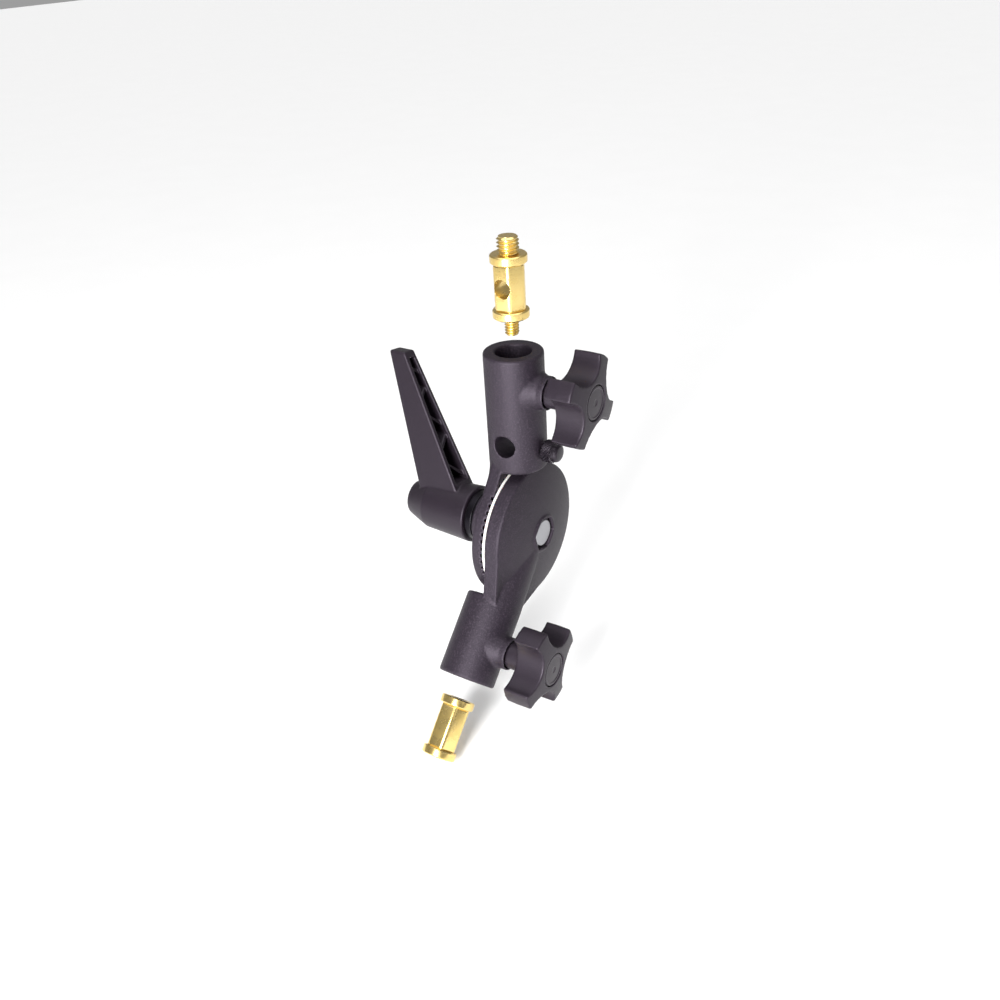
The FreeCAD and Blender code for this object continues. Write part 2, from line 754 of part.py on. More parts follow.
def knob_cap(height):
    """The round cap that closes the front of a knob."""
    face = knob_cap_seat + knob_cap_thickness
    blank = turned(
        [
            (knob_cap_seat, knob_cap_radius), (face - 0.4, knob_cap_radius),
            (face, knob_cap_radius - 0.4),
        ]
    )
    return raised(blank, height)


def clamp_screw(height, angle):
    """The M8 screw moulded into a knob, with a pivot for its pad."""
    head_start = knob_cap_seat - fixed_clearance - clamp_head_height
    head = hexagon(clamp_head_across_flats, head_start, head_start + clamp_head_height)
    shank = turned(
        [
            (clamp_screw_face - pad_pivot_length, pad_pivot_radius),
            (clamp_screw_face + stack_gap, pad_pivot_radius),
            (clamp_screw_face + stack_gap, clamp_screw_radius - 0.5),
            (clamp_screw_face + 0.5, clamp_screw_radius), (head_start, clamp_screw_radius),
        ]
    )
    blank = head.fuse(shank)
    blank.rotate(Vector(0, 0, 0), X_AXIS, -angle)
    return raised(blank, height)


def clamp_pad(height):
    """The brass pad that bears on the stud's waist and doesn't turn with the screw."""
    blank = turned(
        [
            (clamp_pad_face, clamp_pad_radius - 0.4), (clamp_pad_face + 0.4, clamp_pad_radius),
            (clamp_screw_face, clamp_pad_radius),
        ]
    )
    hole_floor = clamp_screw_face - pad_pivot_length - fixed_clearance
    blank = blank.cut(rod(pad_pivot_radius + running_clearance, hole_floor, clamp_screw_face + 1))
    return raised(blank, height)


# ---- umbrella lock ----

def umbrella_lock_knob():
    """The small knurled head of the umbrella lock screw, with a smooth domed nose."""
    knurl_end = lock_head_start + lock_knurl_length
    nose_end = knurl_end + lock_nose_length
    blank = turned(
        [
            (lock_head_start, lock_head_radius - 0.4), (lock_head_start + 0.4, lock_head_radius),
            (knurl_end - 0.3, lock_head_radius), (knurl_end, lock_head_radius - 0.4),
            (knurl_end + 0.6, lock_head_radius - 0.5), (nose_end - 1.4, lock_nose_radius + 0.9),
            (nose_end - 0.5, lock_nose_radius + 0.2), (nose_end, lock_nose_radius - 0.9),
        ]
    )
    groove = Part.makeBox(
        lock_knurl_length + 1, lock_knurl_width, 1,
        Vector(lock_head_start - 1, -lock_knurl_width / 2, lock_head_radius - lock_knurl_depth),
    )
    grooves = []
    for step in range(lock_knurl_count):
        copy = groove.copy()
        copy.rotate(Vector(0, 0, 0), X_AXIS, 360 / lock_knurl_count * step)
        grooves.append(copy)
    blank = blank.cut(grooves)
    hole = rod(lock_screw_radius + fixed_clearance, lock_head_start - 1, knurl_end + 1)
    return raised(blank.cut(hole), lock_screw_height)


def umbrella_lock_screw():
    """The M5 screw held in the knurled head."""
    start = lock_tip_start + lock_tip_thickness + stack_gap
    end = lock_head_start + lock_knurl_length + 1 - fixed_clearance
    blank = turned(
        [
            (start - lock_tip_pivot_length, lock_tip_pivot_radius), (start, lock_tip_pivot_radius),
            (start, lock_screw_radius - 0.4),
            (start + 0.4, lock_screw_radius), (end, lock_screw_radius),
        ]
    )
    return raised(blank, lock_screw_height)


def umbrella_lock_tip():
    """The nylon tip that presses on the umbrella's shaft."""
    end = lock_tip_start + lock_tip_thickness
    blank = turned(
        [
            (lock_tip_start, lock_tip_radius - 0.4), (lock_tip_start + 0.4, lock_tip_radius),
            (end, lock_tip_radius),
        ]
    )
    hole_floor = end - lock_tip_pivot_length - fixed_clearance
    blank = blank.cut(rod(lock_tip_pivot_radius + running_clearance, hole_floor, end + 1))
    return raised(blank, lock_screw_height)


# ---- brass studs, drawn along Z from their lower end ----

def collar(bottom, length):
    """A round collar with chamfered edges."""
    top = bottom + length
    return turned(
        [
            (bottom, collar_radius - stud_chamfer), (bottom + stud_chamfer, collar_radius),
            (top - stud_chamfer, collar_radius), (top, collar_radius - stud_chamfer),
        ],
        Z_AXIS,
    )


def male_stud():
    """The stud with a small thread below and a large thread on top."""
    waist = small_thread_length + male_collar_length
    upper = waist + male_waist_length
    shoulder = upper + male_collar_length
    top = shoulder + large_thread_length
    small, large = small_thread_diameter / 2, large_thread_diameter / 2
    blank = hexagon(stud_across_flats, waist - 1, upper + 1, Z_AXIS, 0)
    for piece in (
        collar(small_thread_length, male_collar_length),
        collar(upper, male_collar_length),
        turned([(0, small - 0.8), (0.8, small), (waist, small)], Z_AXIS),
        turned([(upper, large), (top - 1, large), (top, large - 1)], Z_AXIS),
    ):
        blank = blank.fuse(piece)
    middle = Vector(0, -20, waist + male_waist_length / 2)
    cross_hole = Part.makeCylinder(stud_cross_hole_diameter / 2, 40, middle, Vector(0, 1, 0))
    return raised(blank.cut(cross_hole), umbrella_tube_end + male_stud_gap)


def female_stud():
    """The stud with a large threaded hole at one end and a small one at the other."""
    waist = female_collar_length
    upper = waist + female_waist_length
    top = upper + female_collar_length
    blank = hexagon(stud_across_flats, waist - 1, upper + 1, Z_AXIS, 0)
    for piece in (collar(0, female_collar_length), collar(upper, female_collar_length)):
        blank = blank.fuse(piece)
    large, small = large_tap_diameter / 2, small_tap_diameter / 2
    for space in (
        post(large, -1, large_tap_depth),
        cone_along_z(-1, large + 2, 1, large),
        post(small, top - small_tap_depth, top + 1),
        cone_along_z(top - 1, small, top + 1, small + 2),
    ):
        blank = blank.cut(space)
    return raised(blank, stand_tube_end + female_stud_gap)


# ---- putting the pieces in place ----


def on_umbrella_side(shape):
    """From the pivot's frame to the row's frame, for pieces drawn with the umbrella arm."""
    moved = shape.copy()
    moved.translate(pivot)
    return moved


def on_stand_side(shape):
    """The same for pieces drawn with the stand arm, which hangs down at an angle."""
    moved = shape.copy()
    moved.rotate(Vector(0, 0, 0), X_AXIS, rest_bend)
    moved.translate(pivot)
    return moved


bend = math.radians(rest_bend)
pivot = Vector(0, math.sin(bend), -math.cos(bend)) * (stand_tube_end - origin_depth)

pieces = {
    "stand_arm": on_stand_side(stand_arm()),
    "pivot_bolt": on_stand_side(pivot_bolt()),
    "umbrella_arm": on_umbrella_side(umbrella_arm()),
    "friction_disc": on_umbrella_side(friction_disc()),
    "thrust_washer": on_umbrella_side(thrust_washer()),
    "ratchet_nut": on_umbrella_side(ratchet_nut()),
    "ratchet_screw": on_umbrella_side(ratchet_screw()),
    "ratchet_spring": on_umbrella_side(ratchet_spring()),
    "lever_handle": on_umbrella_side(lever_handle()),
    "spigot_knob": on_umbrella_side(clamp_knob(spigot_clamp_height, spigot_knob_angle)),
    "spigot_knob_cap": on_umbrella_side(knob_cap(spigot_clamp_height)),
    "spigot_clamp_screw": on_umbrella_side(clamp_screw(spigot_clamp_height, spigot_knob_angle)),
    "spigot_clamp_pad": on_umbrella_side(clamp_pad(spigot_clamp_height)),
    "stand_knob": on_stand_side(clamp_knob(stand_clamp_height, stand_knob_angle)),
    "stand_knob_cap": on_stand_side(knob_cap(stand_clamp_height)),
    "stand_clamp_screw": on_stand_side(clamp_screw(stand_clamp_height, stand_knob_angle)),
    "stand_clamp_pad": on_stand_side(clamp_pad(stand_clamp_height)),
    "umbrella_lock_knob": on_umbrella_side(umbrella_lock_knob()),
    "umbrella_lock_screw": on_umbrella_side(umbrella_lock_screw()),
    "umbrella_lock_tip": on_umbrella_side(umbrella_lock_tip()),
    "male_stud": on_umbrella_side(male_stud()),
    "female_stud": on_stand_side(female_stud()),
}

os.makedirs("parts", exist_ok=True)
for name, shape in pieces.items():
    shape.exportStep("parts/" + name + ".step")
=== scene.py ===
import json
import math

import bpy
from bpy.props import FloatProperty, IntProperty, PointerProperty, StringProperty
from bpy.types import Operator, Panel, PropertyGroup
from mathutils import Matrix, Vector


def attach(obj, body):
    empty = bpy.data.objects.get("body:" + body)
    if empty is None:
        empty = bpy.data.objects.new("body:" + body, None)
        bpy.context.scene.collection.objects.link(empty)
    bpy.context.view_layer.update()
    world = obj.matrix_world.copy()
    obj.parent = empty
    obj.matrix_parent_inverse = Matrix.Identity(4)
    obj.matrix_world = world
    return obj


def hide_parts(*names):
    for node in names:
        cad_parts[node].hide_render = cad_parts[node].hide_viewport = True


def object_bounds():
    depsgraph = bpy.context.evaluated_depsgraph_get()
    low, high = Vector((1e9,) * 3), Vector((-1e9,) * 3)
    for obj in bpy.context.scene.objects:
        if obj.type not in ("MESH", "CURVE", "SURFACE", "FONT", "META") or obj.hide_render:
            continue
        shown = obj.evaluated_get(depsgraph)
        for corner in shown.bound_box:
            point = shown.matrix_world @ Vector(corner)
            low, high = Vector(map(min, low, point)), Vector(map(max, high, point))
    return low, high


bl_info = {
    "name": "Umbrella swivel bracket",
    "version": (1, 0, 0),
    "blender": (4, 5, 0),
    "location": "View3D > Sidebar > Bracket",
    "description": "Builds the looks of an umbrella swivel bracket around its CAD frame",
    "category": "Object",
}

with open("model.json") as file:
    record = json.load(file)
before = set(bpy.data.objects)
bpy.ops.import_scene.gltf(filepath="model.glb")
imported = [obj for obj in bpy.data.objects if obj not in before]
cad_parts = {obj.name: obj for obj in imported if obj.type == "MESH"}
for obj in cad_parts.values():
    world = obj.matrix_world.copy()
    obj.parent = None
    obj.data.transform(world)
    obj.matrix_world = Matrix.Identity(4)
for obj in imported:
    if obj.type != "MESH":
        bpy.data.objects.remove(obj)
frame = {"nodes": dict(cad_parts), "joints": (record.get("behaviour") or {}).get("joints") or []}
cad_low, cad_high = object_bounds()

MM = 0.001
MOST_TRIANGLES = 170000
Z_AXIS = Vector((0, 0, 1))
# Stations are places on X, in mm from the middle of the swivel.
UMBRELLA_PLATE_FACE, STAND_PLATE_FACE = -0.9, 0.25
PLATE_RADIUS = 33.0
TOOTH_COUNT, TOOTH_DEPTH, TOOTH_WIDTH, TOOTH_LENGTH = 60, 1.4, 1.6, 6.0
# The lock head's knurl: points around it, rows along it, and the distance between the rows.
KNURL_SIDES, KNURL_ROWS, KNURL_PITCH = 36, 6, 0.78
# The clamp knobs' lobes start at this station, and their caps' seats are this deep.
KNOB_BACK, CAP_SEAT_DEPTH = 26.5, 2.8
# Distances from the pivot along the two arms, in mm.
UMBRELLA_LOCK_UP, SPIGOT_CLAMP_UP, MALE_STUD_UP = 44.5, 73.0, 97.5
STAND_CLAMP_UP, FEMALE_STUD_UP = 58.7, 86.0
# The clamp knobs' turns about their screws, in degrees.
SPIGOT_KNOB_TURN, STAND_KNOB_TURN = 33.0, 28.0


def joint_named(name):
    """The record's joint of that name."""
    return next(joint for joint in frame["joints"] if joint["name"] == name)


# The swivel's pivot, and the two places that pieces are drawn for: the umbrella arm stands up
# from the pivot along +Z, and the stand arm lies along the lower stud's axis.
PIVOT = Vector(joint_named("tilt")["pos_m"])
STAND_DIRECTION = -Vector(joint_named("female_stud_slide")["axis"]).normalized()
UMBRELLA_SIDE = Matrix.Translation(PIVOT)
STAND_TURN = Z_AXIS.rotation_difference(STAND_DIRECTION).to_matrix().to_4x4()
STAND_SIDE = UMBRELLA_SIDE @ STAND_TURN
# Pieces that turn about X are drawn upright and laid over.
LAID_ALONG_X = Matrix.Rotation(math.radians(90), 4, "Y")


# ---- sizes and colours that a user may change ----

class KnobSizes(PropertyGroup):
    """The two four-lobed clamp knobs and their caps."""

    radius: FloatProperty(
        name="Knob radius", description="From the axis to the ends of the lobes",
        default=0.0209, unit="LENGTH", precision=4,
    )
    thickness: FloatProperty(
        name="Knob thickness", description="Along the axis, without the neck",
        default=0.0125, unit="LENGTH", precision=4,
    )
    dome: FloatProperty(
        name="Face dome", description="How far the face's middle stands past the lobes' ends",
        default=0.0022, unit="LENGTH", precision=4,
    )
    hollow_radius: FloatProperty(
        name="Hollow radius", description="Of the arcs between the lobes",
        default=0.0121, unit="LENGTH", precision=4,
    )
    hollow_distance: FloatProperty(
        name="Hollow distance", description="From the axis to the centres of those arcs",
        default=0.0227, unit="LENGTH", precision=4,
    )
    cast_grid: FloatProperty(
        name="Knob grid", description="Spacing of the grid that the knobs are cast over on",
        default=0.00034, unit="LENGTH", precision=5,
    )
    cast_passes: IntProperty(
        name="Knob passes", description="How often the knobs' corners are smoothed",
        default=16, min=0, max=40,
    )
    neck_radius: FloatProperty(
        name="Neck radius", description="Of the round neck behind the lobes",
        default=0.0064, unit="LENGTH", precision=4,
    )
    cap_radius: FloatProperty(
        name="Cap radius", description="Of the round cap in the knob's face",
        default=0.0076, unit="LENGTH", precision=4,
    )


class StudSizes(PropertyGroup):
    """The two brass studs."""

    collar_radius: FloatProperty(
        name="Collar radius", description="Half of the stud's 16 mm diameter",
        default=0.008, unit="LENGTH", precision=4,
    )
    across_flats: FloatProperty(
        name="Across flats", description="Of the hexagonal waist",
        default=0.013, unit="LENGTH", precision=4,
    )
    corner_rounding: FloatProperty(
        name="Waist corner rounding", description="Of the waist's six corners",
        default=0.0014, unit="LENGTH", precision=4,
    )
    cross_hole_radius: FloatProperty(
        name="Cross hole radius", description="Of the hole through the upper stud's waist",
        default=0.004, unit="LENGTH", precision=4,
    )


class CastingSizes(PropertyGroup):
    """How the two castings are softened."""

    cast_grid: FloatProperty(
        name="Casting grid", description="Spacing of the grid that the castings are cast over on",
        default=0.00045, unit="LENGTH", precision=5,
    )
    cast_passes: IntProperty(
        name="Casting passes", description="How often the cast corners are smoothed",
        default=6, min=0, max=40,
    )


class MouldingSizes(PropertyGroup):
    """How the lever is softened."""

    cast_grid: FloatProperty(
        name="Moulding grid", description="Spacing of the grid that the lever is cast over on",
        default=0.00036, unit="LENGTH", precision=5,
    )
    cast_passes: IntProperty(
        name="Moulding passes", description="How often the moulded corners are smoothed",
        default=5, min=0, max=40,
    )


class FinishColours(PropertyGroup):
    """Colours of the finishes, as sRGB hex values."""

    casting: StringProperty(
        name="Casting", description="Powder coat on the two castings", default="#18131a"
    )
    casting_speck: StringProperty(
        name="Casting speck", description="The paler specks in the powder coat", default="#362e37"
    )
    moulding: StringProperty(
        name="Moulding", description="Glass-filled nylon of the knobs and the lever",
        default="#171218",
    )
    cap: StringProperty(name="Cap", description="Nylon of the caps", default="#171217")
    friction: StringProperty(name="Friction disc", description="White acetal", default="#d6d2ce")
    bolt: StringProperty(name="Bolt", description="Zinc plate on the bolt", default="#9a9a9e")
    brass: StringProperty(name="Brass", description="Turned brass of the studs", default="#e8cd86")
    black_oxide: StringProperty(
        name="Black oxide", description="On the steel nut", default="#232126"
    )


class StageSettings(PropertyGroup):
    """Floor and lights."""

    floor: StringProperty(name="Floor", description="Colour of the plain floor", default="#fbfbfb")
    surround: FloatProperty(
        name="Surround", description="Strength of the even light from all round", default=0.34
    )
    front_power: FloatProperty(
        name="Front light", description="Power of the tall light in front", default=10.5,
        unit="POWER",
    )
    overhead: FloatProperty(
        name="Overhead light", description="Strength of the wide light straight overhead",
        default=2.1,
    )
    side_power: FloatProperty(
        name="Side light", description="Power of the soft light on the bolt's side", default=0.6,
        unit="POWER",
    )


# ---- modelling steps used again and again ----

def deselect_all():
    """Nothing stays selected or active for the next step."""
    if bpy.context.object and bpy.context.object.mode != "OBJECT":
        bpy.ops.object.mode_set(mode="OBJECT")
    bpy.ops.object.select_all(action="DESELECT")


def pick(obj):
    """Makes one object the selected and active one."""
    deselect_all()
    obj.select_set(True)
    bpy.context.view_layer.objects.active = obj
    return obj


def turned(name, outline, sides=72):
    """A round solid along Z: a disc, extruded and resized through (station, radius) in mm."""
    deselect_all()
    station, radius = outline[0]
    bpy.ops.mesh.primitive_circle_add(
        vertices=sides, radius=radius * MM, fill_type="NGON", location=(0, 0, station * MM)
    )
    obj = bpy.context.object
    obj.name = name
    bpy.ops.object.mode_set(mode="EDIT")
    bpy.ops.mesh.select_all(action="SELECT")
    for next_station, next_radius in outline[1:]:
        rise = (next_station - station) * MM
        bpy.ops.mesh.extrude_region_move(TRANSFORM_OT_translate={"value": (0, 0, rise)})
        share = next_radius / radius
        bpy.ops.transform.resize(value=(share, share, 1), center_override=(0, 0, next_station * MM))
        station, radius = next_station, next_radius
    bpy.ops.mesh.select_all(action="SELECT")
    bpy.ops.mesh.normals_make_consistent(inside=False)
    bpy.ops.object.mode_set(mode="OBJECT")
    return settle(obj)


def prism(name, corners, corner_radius, bottom, top, turn=0.0):
    """A regular prism along Z, in mm; the first corner lies on Y before it is turned."""
    deselect_all()
    bpy.ops.mesh.primitive_cylinder_add(
        vertices=corners, radius=corner_radius * MM, depth=(top - bottom) * MM,
        location=(0, 0, (top + bottom) / 2 * MM), rotation=(0, 0, math.radians(turn)),
    )
    obj = bpy.context.object
    obj.name = name
    return settle(obj)


def settle(obj, place=None):
    """Moves an object's place into its mesh, so that the object sits at the origin."""
    matrix = obj.matrix_world.copy() if place is None else place @ obj.matrix_world
    obj.data.transform(matrix)
    obj.matrix_world = Matrix.Identity(4)
    return obj


def combine(obj, tool, operation, crossing=True):
    """Adds, cuts or keeps what is common with another solid, which is used up.

    Without `crossing` neither solid's own faces may cross, and large meshes take less time.
    """
    pick(obj)
    step = obj.modifiers.new(operation.lower(), "BOOLEAN")
    step.object = tool
    step.operation = operation
    step.solver = "EXACT"
    step.use_self = crossing
    bpy.ops.object.modifier_apply(modifier=step.name)
    bpy.data.objects.remove(tool)
    return obj


def soften(obj, grid, passes):
    """Casts a solid over on a fine grid and smooths it, so that its corners are soft."""
    pick(obj)
    step = obj.modifiers.new("grid", "REMESH")
    step.mode = "VOXEL"
    step.voxel_size = grid
    step.adaptivity = 0.0
    bpy.ops.object.modifier_apply(modifier=step.name)
    step = obj.modifiers.new("soften", "CORRECTIVE_SMOOTH")
    step.iterations = passes
    step.smooth_type = "LENGTH_WEIGHTED"
    step.use_only_smooth = True
    bpy.ops.object.modifier_apply(modifier=step.name)
    triangles = 2 * len(obj.data.polygons)
    if triangles > MOST_TRIANGLES:
        step = obj.modifiers.new("fewer", "DECIMATE")
        step.ratio = MOST_TRIANGLES / triangles
        bpy.ops.object.modifier_apply(modifier=step.name)
    return obj


def thread_ridge(name, minor, major, pitch, bottom, turns):
    """The raised helix of a screw thread, in mm: a pointed section wound up around Z."""
    deselect_all()
    middle = (minor + major) / 2 - 0.15
    bpy.ops.mesh.primitive_circle_add(
        vertices=3, radius=pitch * 0.5 * MM, location=(middle * MM, 0, bottom * MM),
        rotation=(math.radians(90), 0, 0),
    )
    obj = bpy.context.object
    obj.name = name
    settle(obj)
    section = obj.data.vertices
    corners = [(major, 0.0), (minor - 0.2, pitch * 0.47), (minor - 0.2, -pitch * 0.47)]
    for vertex, (radius, rise) in zip(section, corners):
        vertex.co = Vector((radius * MM, 0, (bottom + rise) * MM))
    pick(obj)
    step = obj.modifiers.new("winding", "SCREW")
    step.axis = "Z"
    step.screw_offset = pitch * MM
    step.iterations = turns
    step.steps = step.render_steps = 40
    step.use_merge_vertices = True
    step.merge_threshold = 1e-6
    bpy.ops.object.modifier_apply(modifier=step.name)
    bpy.ops.object.mode_set(mode="EDIT")
    bpy.ops.mesh.select_all(action="DESELECT")
    bpy.ops.mesh.select_mode(type="VERT")
    bpy.ops.mesh.select_non_manifold()
    bpy.ops.mesh.edge_face_add()
    bpy.ops.mesh.select_all(action="SELECT")
    bpy.ops.mesh.normals_make_consistent(inside=False)
    bpy.ops.object.mode_set(mode="OBJECT")
    return obj


def threaded_rod(name, major, pitch, bottom, top, chamfer):
    """A threaded rod along Z with chamfered ends, in mm."""
    minor = major - pitch * 0.6
    rod = turned(name, [(bottom, minor), (top, minor)])
    turns = int((top - bottom) / pitch) + 2
    ridge = thread_ridge(name + "_ridge", minor, major, pitch, bottom - pitch, turns)
    combine(rod, ridge, "UNION")
    envelope = turned(
        name + "_envelope",
        [
            (bottom, major - chamfer), (bottom + chamfer, major + 0.02),
            (top - chamfer, major + 0.02), (top, major - chamfer),
        ],
    )
    return combine(rod, envelope, "INTERSECT")


def finish_piece(obj, place, body, material, replaced, angle=30.0):
    """Puts a drawn piece in its place, smooths it, and ties it to the CAD frame."""
    settle(obj, place)
    pick(obj)
    bpy.ops.object.shade_smooth_by_angle(angle=math.radians(angle))
    obj.data.materials.clear()
    obj.data.materials.append(material)
    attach(obj, body)
    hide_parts(*replaced)
    return obj


# ---- finishes ----

def linear(hex_colour):
    """An sRGB hex value as the linear colour that the nodes take."""
    parts = [int(hex_colour[start:start + 2], 16) / 255 for start in (1, 3, 5)]
    straight = [p / 12.92 if p <= 0.04045 else ((p + 0.055) / 1.055) ** 2.4 for p in parts]
    return (*straight, 1.0)


def new_material(name):
    """An empty node material with its shader; returns both."""
    material = bpy.data.materials.new(name)
    material.use_nodes = True
    material.node_tree.nodes.clear()
    shader = add_node(material, "ShaderNodeBsdfPrincipled")
    add_node(material, "ShaderNodeOutputMaterial", {"Surface": shader.outputs["BSDF"]})
    return material, shader


def add_node(material, kind, inputs=None, **properties):
    """Adds a node: its properties, then each input's value or the socket that feeds it."""
    tree = material.node_tree
    made = tree.nodes.new(kind)
    for name, value in properties.items():
        setattr(made, name, value)
    set_inputs(material, made, inputs or {})
    return made


def set_inputs(material, made, inputs):
    """Sets or links a node's inputs, by name or number."""
    for name, value in inputs.items():
        if isinstance(value, bpy.types.NodeSocket):
            material.node_tree.links.new(value, made.inputs[name])
        else:
            made.inputs[name].default_value = value


def grain(material, size, detail=2.0, roughness=0.5):
    """Noise whose grains are about that size across, in mm."""
    place = add_node(material, "ShaderNodeTexCoord")
    return add_node(
        material, "ShaderNodeTexNoise",
        {"Vector": place.outputs["Object"], "Scale": 1 / (size * MM), "Detail": detail,
         "Roughness": roughness},
    )


def remap(material, value, low, high, to_low, to_high):
    """A value range mapped to another, held at its ends."""
    return add_node(
        material, "ShaderNodeMapRange",
        {"Value": value, "From Min": low, "From Max": high, "To Min": to_low, "To Max": to_high},
    ).outputs["Result"]


def blend_colours(material, factor, first, second, mode="MIX"):
    """Two colours, or sockets, mixed by a factor."""
    mixed = add_node(material, "ShaderNodeMix", data_type="RGBA", blend_type=mode)
    set_inputs(material, mixed, {0: factor, 6: first, 7: second})
    return mixed.outputs[2]


def edge_mask(material, width, low=0.02, high=0.25):
    """Near 1 along convex and concave edges, and 0 on flats; also the rounded normal."""
    rounded = add_node(material, "ShaderNodeBevel", {"Radius": width * MM}, samples=6)
    flat = add_node(material, "ShaderNodeNewGeometry")
    turned_by = add_node(
        material, "ShaderNodeVectorMath",
        {0: rounded.outputs["Normal"], 1: flat.outputs["Normal"]}, operation="DOT_PRODUCT",
    )
    share = remap(material, turned_by.outputs["Value"], 1 - low, 1 - high, 0, 1)
    return share, rounded.outputs["Normal"]


def powder_coat(colours):
    """Powder coat over a die casting: fine specks, an orange-peel skin, and pale edges that are
    partly wear and partly a painted highlight.
    """
    material, shader = new_material("powder_coated_die_cast_aluminium")
    specks = grain(material, 0.75, detail=4.0, roughness=0.7)
    clouds = grain(material, 14.0, detail=2.0)
    speck_share = remap(material, specks.outputs["Fac"], 0.5, 0.68, 0.0, 0.9)
    colour = blend_colours(
        material, speck_share, linear(colours.casting), linear(colours.casting_speck)
    )
    cloud_share = remap(material, clouds.outputs["Fac"], 0.35, 0.7, 0.0, 0.22)
    colour = blend_colours(material, cloud_share, colour, linear("#201923"))
    edges, normal = edge_mask(material, 0.8, 0.01, 0.16)
    # Pale colour along the edges, broken up by noise: partly wear, partly a painted highlight line
    # along the rims.
    wear_and_highlight_noise = grain(material, 1.6, detail=4.0)
    edge_wear_and_painted_highlight = add_node(
        material, "ShaderNodeMath",
        {0: edges, 1: remap(material, wear_and_highlight_noise.outputs["Fac"], 0.36, 0.62, 0.25, 0.8)},
        operation="MULTIPLY",
    )
    colour = blend_colours(material, edge_wear_and_painted_highlight.outputs["Value"], colour, linear("#655d68"))
    rough = remap(material, specks.outputs["Fac"], 0.3, 0.7, 0.44, 0.6)
    bump = add_node(
        material, "ShaderNodeBump",
        {"Strength": 0.85, "Distance": 0.0002, "Height": specks.outputs["Fac"], "Normal": normal},
    )
    set_inputs(
        material, shader,
        {"Base Color": colour, "Roughness": rough, "Normal": bump.outputs["Normal"], "IOR": 1.5,
         "Specular IOR Level": 0.38, "Specular Tint": linear("#f0e4f5")},
    )
    return material


def glass_filled_nylon(name, colour_hex, grain_size, rough_low, rough_high, soft=0.45):
    """Moulded nylon with glass fibres: a spark-eroded skin, a soft shine and a painted highlight
    along its edges.
    """
    material, shader = new_material(name)
    skin = grain(material, grain_size, detail=3.0, roughness=0.6)
    clouds = grain(material, 9.0)
    share = remap(material, skin.outputs["Fac"], 0.45, 0.72, 0.0, 0.5)
    colour = blend_colours(material, share, linear(colour_hex), linear("#2b232c"))
    share = remap(material, clouds.outputs["Fac"], 0.35, 0.7, 0.0, 0.2)
    colour = blend_colours(material, share, colour, linear("#1e1821"))
    edges, normal = edge_mask(material, soft, 0.01, 0.2)
    # Pale colour along every edge: a painted highlight.
    share = add_node(material, "ShaderNodeMath", {0: edges, 1: 0.6}, operation="MULTIPLY")
    colour = blend_colours(material, share.outputs["Value"], colour, linear("#5f5762"))
    bump = add_node(
        material, "ShaderNodeBump",
        {"Strength": 0.4, "Distance": 0.00004, "Height": skin.outputs["Fac"], "Normal": normal},
    )
    set_inputs(
        material, shader,
        {"Base Color": colour, "Normal": bump.outputs["Normal"], "IOR": 1.53,
         "Specular IOR Level": 0.34, "Specular Tint": linear("#f0e4f5"),
         "Roughness": remap(material, skin.outputs["Fac"], 0.3, 0.7, rough_low, rough_high)},
    )
    return material


def turned_brass(name, colour_hex, place):
    """Bright turned brass: fine tool rings about the piece's own axis, a warm shine, and a painted
    highlight along its edges.
    """
    material, shader = new_material(name)
    coords = add_node(material, "ShaderNodeTexCoord")
    back = place.inverted()
    centred = add_node(
        material, "ShaderNodeMapping",
        {"Vector": coords.outputs["Object"], "Location": back.to_translation(),
         "Rotation": back.to_euler()},
    )
    # The wave's period is 0.314 / Scale metres. Rings 0.6 mm apart are coarser than a real
    # tool's, so that they show.
    rings = add_node(
        material, "ShaderNodeTexWave",
        {"Vector": centred.outputs["Vector"], "Scale": 0.314 / (0.6 * MM), "Distortion": 1.2,
         "Detail": 2.0, "Detail Scale": 2.0},
        wave_type="BANDS", bands_direction="Z",
    )
    smears = grain(material, 7.0, detail=3.0)
    edges, normal = edge_mask(material, 0.12)
    colour = blend_colours(
        material, remap(material, smears.outputs["Fac"], 0.4, 0.7, 0.0, 0.4),
        linear(colour_hex), linear("#e0bf6c"),
    )
    # Pale brass colour along the edges: a painted highlight.
    share = add_node(material, "ShaderNodeMath", {0: edges, 1: 0.4}, operation="MULTIPLY")
    colour = blend_colours(material, share.outputs["Value"], colour, linear("#fff0c4"))
    bump = add_node(
        material, "ShaderNodeBump",
        {"Strength": 0.25, "Distance": 0.00002, "Height": rings.outputs["Fac"], "Normal": normal},
    )
    set_inputs(
        material, shader,
        {"Base Color": colour, "Metallic": 1.0, "Normal": bump.outputs["Normal"],
         "Roughness": remap(material, smears.outputs["Fac"], 0.3, 0.7, 0.22, 0.31)},
    )
    return material


def plated_steel(name, colour_hex, rough_low, rough_high, metallic=1.0):
    """Plated or blackened steel: a faint mottle and a painted highlight along its edges."""
    material, shader = new_material(name)
    mottle = grain(material, 0.8, detail=4.0)
    edges, normal = edge_mask(material, 0.2)
    # Pale grey along the edges: a painted highlight.
    share = add_node(material, "ShaderNodeMath", {0: edges, 1: 0.35}, operation="MULTIPLY")
    colour = blend_colours(material, share.outputs["Value"], linear(colour_hex), linear("#cfcfd2"))
    bump = add_node(
        material, "ShaderNodeBump",
        {"Strength": 0.15, "Distance": 0.00003, "Height": mottle.outputs["Fac"], "Normal": normal},
    )
    set_inputs(
        material, shader,
        {"Base Color": colour, "Metallic": metallic, "Normal": bump.outputs["Normal"],
         "Roughness": remap(material, mottle.outputs["Fac"], 0.3, 0.7, rough_low, rough_high)},
    )
    return material


